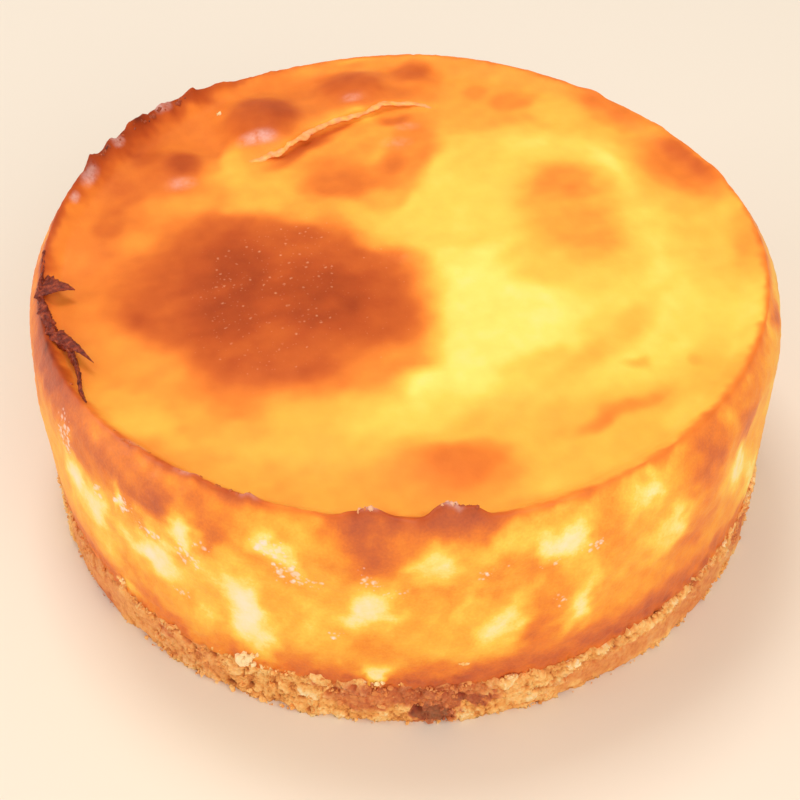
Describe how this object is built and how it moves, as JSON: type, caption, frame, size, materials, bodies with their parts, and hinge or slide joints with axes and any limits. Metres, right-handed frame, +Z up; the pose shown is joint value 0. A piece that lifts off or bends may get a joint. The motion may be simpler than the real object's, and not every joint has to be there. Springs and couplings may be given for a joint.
{
  "type": "baked cheesecake",
  "caption": "Whole round baked cheesecake with a scorched top, mottled browned side, thin raised rim and pressed biscuit base, free-standing on its flat underside.",
  "frame": {"origin": "Middle of the flat underside of the biscuit base, on the surface the cake stands on", "axes": "+Z up through the middle of the cake; -Y is the side with the two nubs on the rim; -X is the side with the burnt shards of skin"},
  "size_m": [0.1513, 0.1504, 0.0574],
  "materials": {
    "baked_custard": "satin",
    "biscuit_crumb": "matte"
  },
  "bodies": {
    "root": {"cheese_filling": "baked_custard", "biscuit_base": "biscuit_crumb"}
  },
  "joints": []
}
